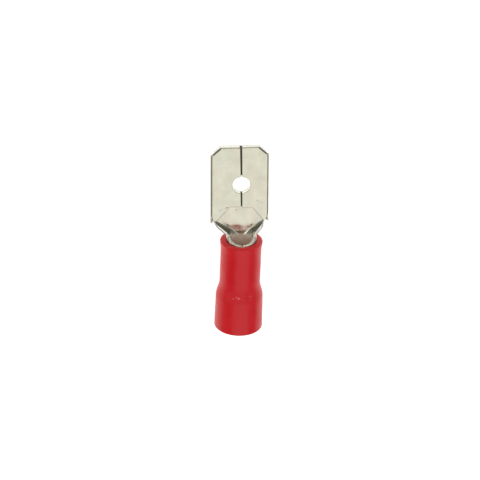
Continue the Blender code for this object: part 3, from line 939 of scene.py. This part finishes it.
def sleeve_profile(s, p):
    """Half section (y, r, skin) of the wall: outside from the wire end to the lip, inside back again."""
    fit = p.barrel_outer + s.fit
    wire = s.wire_bore / 2
    neck = fit + s.wall
    wide = wire + s.wall
    lip_start = s.length - s.lip_length
    edge = s.edge_round
    outside = arc(edge, wide - edge, edge, -90, 0)
    for y in evenly(WIDE_ROWS_START, s.wire_bore_depth - WIDE_ROWS_END, SLEEVE_SPACING):
        outside.append((y, mixed(wide, wide - s.draft, y / s.wire_bore_depth)))
    for along in np.linspace(0, 1, SHOULDER_STEPS + 1):
        y = s.wire_bore_depth + along * s.shoulder_length
        outside.append((y, mixed(wide - s.draft, neck, eased(along))))
    narrow_rows = evenly(s.wire_bore_depth + s.shoulder_length, lip_start, SLEEVE_SPACING)
    outside += [(y, neck) for y in narrow_rows[1:-1]]
    for along in np.linspace(0, 1, LIP_STEPS + 1)[:-1]:
        outside.append((mixed(lip_start, s.length - edge, along), neck + s.lip_flare * along**2))
    outside += arc(s.length - edge, neck + s.lip_flare - edge, edge, 0, 90)
    inside = arc(s.length - edge, fit + edge, edge, 90, 180)
    for along in np.linspace(1, 0, FUNNEL_STEPS + 1):
        y = s.wire_bore_depth + along * s.funnel_length
        inside.append((y, mixed(wire, fit, eased(along))))
    inside += arc(edge, wire + edge, edge, 180, 270)
    return [(y, r, 1.0) for y, r in outside] + [(y, r, 0.0) for y, r in inside]


def profile_object(name, profile):
    """The half section as a row of points, (r, y, skin), for the tree to turn."""
    mesh = bpy.data.meshes.new(name)
    mesh.from_pydata([(r, y, skin) for y, r, skin in profile], [], [])
    made = bpy.data.objects.new(name, mesh)
    bpy.context.scene.collection.objects.link(made)
    return made


def turning_tree(points):
    """A tree that turns a row of (r, y, skin) points about the y axis into a closed wall."""
    tree = bpy.data.node_groups.new("turned_wall", "GeometryNodeTree")
    inputs = {"Geometry": "Geometry", "Steps": "Int", "Parting Line": "Float", "Ripple": "Float"}
    for name, kind in {**inputs, "Finish": "Material"}.items():
        tree.interface.new_socket(name, in_out="INPUT", socket_type="NodeSocket" + kind)
    tree.interface.new_socket("Geometry", in_out="OUTPUT", socket_type="NodeSocketGeometry")
    given = add(tree, "NodeGroupInput").outputs
    sums = partial(maths, tree)
    columns = sums("ADD", given["Steps"], 1)
    grid = add(tree, "GeometryNodeMeshGrid", Vertices__X=points + 1, Vertices__Y=columns)
    index = add(tree, "GeometryNodeInputIndex").outputs[0]
    row = sums("FLOOR", sums("DIVIDE", sums("ADD", index, 0.5), columns))
    step = sums("FLOORED_MODULO", index, columns)
    turn = sums("MULTIPLY", sums("DIVIDE", step, given["Steps"]), math.tau)
    gathering = sums("SINE", sums("MULTIPLY", turn, 2))
    turn = sums("ADD", turn, sums("MULTIPLY", gathering, STEPS_GATHERED))
    sample = add(
        tree,
        "GeometryNodeSampleIndex",
        {"data_type": "FLOAT_VECTOR", "domain": "POINT"},
        Geometry=given["Geometry"],
        Index=sums("MODULO", row, points),
        Value=add(tree, "GeometryNodeInputPosition").outputs[0],
    )
    radius, along, skin = add(tree, "ShaderNodeSeparateXYZ", _0=sample.outputs["Value"]).outputs

    def turned(radius):
        across = sums("MULTIPLY", radius, sums("SINE", turn))
        up = sums("MULTIPLY", radius, sums("COSINE", turn))
        return add(tree, "ShaderNodeCombineXYZ", X=across, Y=along, Z=up).outputs[0], up

    place, up = turned(radius)
    uneven = sums("SUBTRACT", noise(tree, place, RIPPLE_SCALE, 1), 0.5)
    from_line = sums("DIVIDE", up, PARTING_LINE_HALF)
    bulge = sums("EXPONENT", sums("MULTIPLY", sums("MULTIPLY", from_line, from_line), -1))
    line = sums("MULTIPLY", sums("MULTIPLY", bulge, given["Parting Line"]), skin)
    radius = sums("ADD", radius, sums("MULTIPLY", uneven, given["Ripple"]))
    wall, _ = turned(sums("ADD", radius, line))
    moved = add(tree, "GeometryNodeSetPosition", Geometry=grid.outputs["Mesh"], Position=wall)
    closed = add(tree, "GeometryNodeMergeByDistance", Geometry=moved.outputs[0], Distance=SAME_PLACE)
    real = add(tree, "GeometryNodeRealizeInstances", Geometry=closed.outputs[0])
    finish = add(tree, "GeometryNodeSetMaterial", Geometry=real.outputs[0], Material=given["Finish"])
    add(tree, "NodeGroupOutput", Geometry=finish.outputs[0])
    return tree


def made_plain(source, name):
    """The evaluated result of the object's modifiers as a new, plain object; the source goes."""
    graph = bpy.context.evaluated_depsgraph_get()
    mesh = bpy.data.meshes.new_from_object(source.evaluated_get(graph))
    mesh.name = name
    bpy.data.objects.remove(source)
    made = bpy.data.objects.new(name, mesh)
    bpy.context.scene.collection.objects.link(made)
    return made


def rubbed(s, points):
    """How many lighter flecks the sleeve gets there: painted glints most round the middle of its shoulder,
    scuffed wear less at its ends.
    """
    y = points[:, 1]
    from_shoulder = (y - s.wire_bore_depth - s.shoulder_length / 2) / SHOULDER_GLINTS
    from_end = np.minimum(y, s.length - y) / s.edge_round
    outside = np.hypot(points[:, 0], points[:, 2]) > s.wire_bore / 2
    on_top = 1 - smooth_step(np.abs(points[:, 0]), *GLINTS_ASIDE)
    at_end = END_RUB * (1 - smooth_step(from_end, 0, 1))
    return outside * np.maximum(on_top * np.exp(-(from_shoulder**2)), at_end)


def turned_sleeve(s, p, finish):
    """The sleeve's half section, turned by the tree."""
    profile = sleeve_profile(s, p)
    source = profile_object("sleeve_section", profile)
    modifier = source.modifiers.new("turn", "NODES")
    modifier.node_group = turning_tree(len(profile))
    values = {"Steps": s.steps, "Parting Line": s.parting_line, "Ripple": s.ripple, "Finish": finish}
    for item in modifier.node_group.interface.items_tree:
        if item.in_out == "INPUT" and item.name in values:
            modifier[item.identifier] = values[item.name]
    made = made_plain(source, "moulded_sleeve")
    points = np.empty(3 * len(made.data.vertices), np.float32)
    made.data.vertices.foreach_get("co", points)
    points = points.reshape(-1, 3).astype(float)
    write_attribute(made.data, "rubbed", rubbed(s, points))
    points = laid_down(p, leaned(p, points))
    made.data.vertices.foreach_set("co", points.astype(np.float32).ravel())
    turn_faces_outwards(made.data)
    return made


class BuildTerminal(bpy.types.Operator):
    """Forms the flat pattern of the sheet into the tab, the neck and the wire barrel"""

    bl_idname = "terminal.build_sheet"
    bl_label = "Formed terminal"

    def execute(self, context):
        s = context.scene.terminal
        p = places_of(s, context.scene.terminal_sleeve)
        flat, faces, cut = sheet_solid(s, p)
        mesh = bpy.data.meshes.new("formed_terminal")
        mesh.from_pydata(laid_down(p, formed(s, p, flat)).tolist(), [], faces)
        turn_faces_outwards(mesh)
        write_attribute(mesh, "inside_barrel", inside_barrel(s, p, flat))
        write_attribute(mesh, "painted_shade_between_layers", painted_shade_between_layers(s, p, flat))
        write_attribute(mesh, "cut_edge", cut)
        mesh.materials.append(tin_plated_brass(s))
        made = bpy.data.objects.new(mesh.name, mesh)
        context.scene.collection.objects.link(made)
        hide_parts("tab_terminal")
        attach(made, "root")
        return {"FINISHED"}


class BuildSleeve(bpy.types.Operator):
    """Turns the moulded sleeve's wall from its half section"""

    bl_idname = "terminal.build_sleeve"
    bl_label = "Moulded sleeve"

    def execute(self, context):
        s = context.scene.terminal_sleeve
        p = places_of(context.scene.terminal, s)
        made = turned_sleeve(s, p, moulded_pvc(s))
        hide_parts("insulating_sleeve")
        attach(made, "root")
        return {"FINISHED"}


# Stage
FLOOR_REACH = 1.2
WORLD_STRENGTH = 0.26
SOFT_BOXES = (  # name, width and height, place, radiance
    ("overhead", (0.5, 0.44), (0.03, -0.22, 0.34), 1.05),
    ("front", (0.5, 0.5), (-0.04, 0.3, 0.55), 1.35),
    ("left", (0.2, 0.3), (-0.4, 0.02, 0.3), 1.0),
    ("right", (0.2, 0.3), (0.4, 0.0, 0.3), 0.7),
)
SENSOR_WIDTH = 36
CAMERA_ASIDE = -0.07  # the camera stands a little to the left of the terminal, and is rolled a little
CAMERA_ROLL = 0.034
PICTURE_WIDTH = 480  # pixels
ORIGIN_LEFT = 0.55  # the terminal's own origin shows this many pixels left of the middle and below it
ORIGIN_BELOW = 83.75


def soft_box(name, size, place, radiance):
    """A rectangular lamp of this size and radiance, facing the terminal."""
    data = bpy.data.lights.new(name, "AREA")
    data.shape = "RECTANGLE"
    data.size, data.size_y = size
    data.energy = radiance * math.pi * size[0] * size[1]
    made = bpy.data.objects.new(name, data)
    made.location = place
    made.rotation_euler = (-Vector(place)).to_track_quat("-Z", "Y").to_euler()
    bpy.context.scene.collection.objects.link(made)


class BuildStage(bpy.types.Operator):
    """Sets the pale floor, the soft boxes and the camera at the photograph's angle"""

    bl_idname = "terminal.build_stage"
    bl_label = "Stage"

    def execute(self, context):
        stage = context.scene.terminal_stage
        p = places_of(context.scene.terminal, context.scene.terminal_sleeve)
        self.add_floor(stage)
        self.add_light(context)
        self.add_camera(context, stage, p)
        context.scene.view_settings.view_transform = "Standard"
        return {"FINISHED"}

    def add_floor(self, stage):
        mesh = bpy.data.meshes.new("floor")
        corners = [(x * FLOOR_REACH, y * FLOOR_REACH, 0) for x, y in ((-1, -1), (1, -1), (1, 1), (-1, 1))]
        mesh.from_pydata(corners, [], [(0, 1, 2, 3)])
        mesh.materials.append(light_table(stage))
        floor = bpy.data.objects.new("floor", mesh)
        bpy.context.scene.collection.objects.link(floor)

    def add_light(self, context):
        world = bpy.data.worlds.new("studio")
        world.use_nodes = True
        background = world.node_tree.nodes["Background"]
        background.inputs["Color"].default_value = (1, 1, 1, 1)
        background.inputs["Strength"].default_value = WORLD_STRENGTH
        context.scene.world = world
        for lamp in SOFT_BOXES:
            soft_box(*lamp)

    def add_camera(self, context, stage, p):
        lens, field = stage.lens, stage.field
        data = bpy.data.cameras.new("camera")
        data.lens = lens
        data.sensor_width = SENSOR_WIDTH
        distance = field * lens / data.sensor_width
        flat, high = math.cos(stage.elevation), math.sin(stage.elevation)
        towards = Vector((CAMERA_ASIDE, flat, high)).normalized()
        up = Vector((CAMERA_ROLL, high, -flat))
        right = up.cross(towards).normalized()
        up = towards.cross(right)
        pixel = field / PICTURE_WIDTH
        target = ORIGIN_LEFT * pixel * right + ORIGIN_BELOW * pixel * up
        points = [target, target + towards, target + up]
        target, ahead, above = (Vector(point) for point in laid_down(p, points))
        camera = bpy.data.objects.new("camera", data)
        camera.location = target + (ahead - target) * distance
        towards, up = (ahead - target).normalized(), (above - target).normalized()
        right = up.cross(towards)
        camera.rotation_euler = Matrix((right, up, towards)).transposed().to_euler()
        context.scene.collection.objects.link(camera)
        context.scene.camera = camera


class TerminalPanel(bpy.types.Panel):
    """Lists the terminal's pieces and its stage"""

    bl_idname = "VIEW3D_PT_terminal"
    bl_label = "Spade terminal"
    bl_space_type = "VIEW_3D"
    bl_region_type = "UI"
    bl_category = "Terminal"

    def draw(self, context):
        for place, operator in zip(SETTINGS, OPERATORS):
            settings = getattr(context.scene, place)
            box = self.layout.box()
            for name in settings.__annotations__:
                box.prop(settings, name)
            box.operator(operator.bl_idname)


SETTINGS = {"terminal": TerminalSettings, "terminal_sleeve": SleeveSettings, "terminal_stage": StageSettings}
OPERATORS = (BuildTerminal, BuildSleeve, BuildStage)
CLASSES = (*SETTINGS.values(), *OPERATORS, TerminalPanel)


def register():
    for cls in CLASSES:
        bpy.utils.register_class(cls)
    for name, settings in SETTINGS.items():
        setattr(bpy.types.Scene, name, bpy.props.PointerProperty(type=settings))


def unregister():
    for name in SETTINGS:
        delattr(bpy.types.Scene, name)
    for cls in reversed(CLASSES):
        bpy.utils.unregister_class(cls)


def main():
    register()
    bpy.ops.terminal.build_sheet()
    bpy.ops.terminal.build_sleeve()
    bpy.ops.terminal.build_stage()


if __name__ == "__main__":
    main()
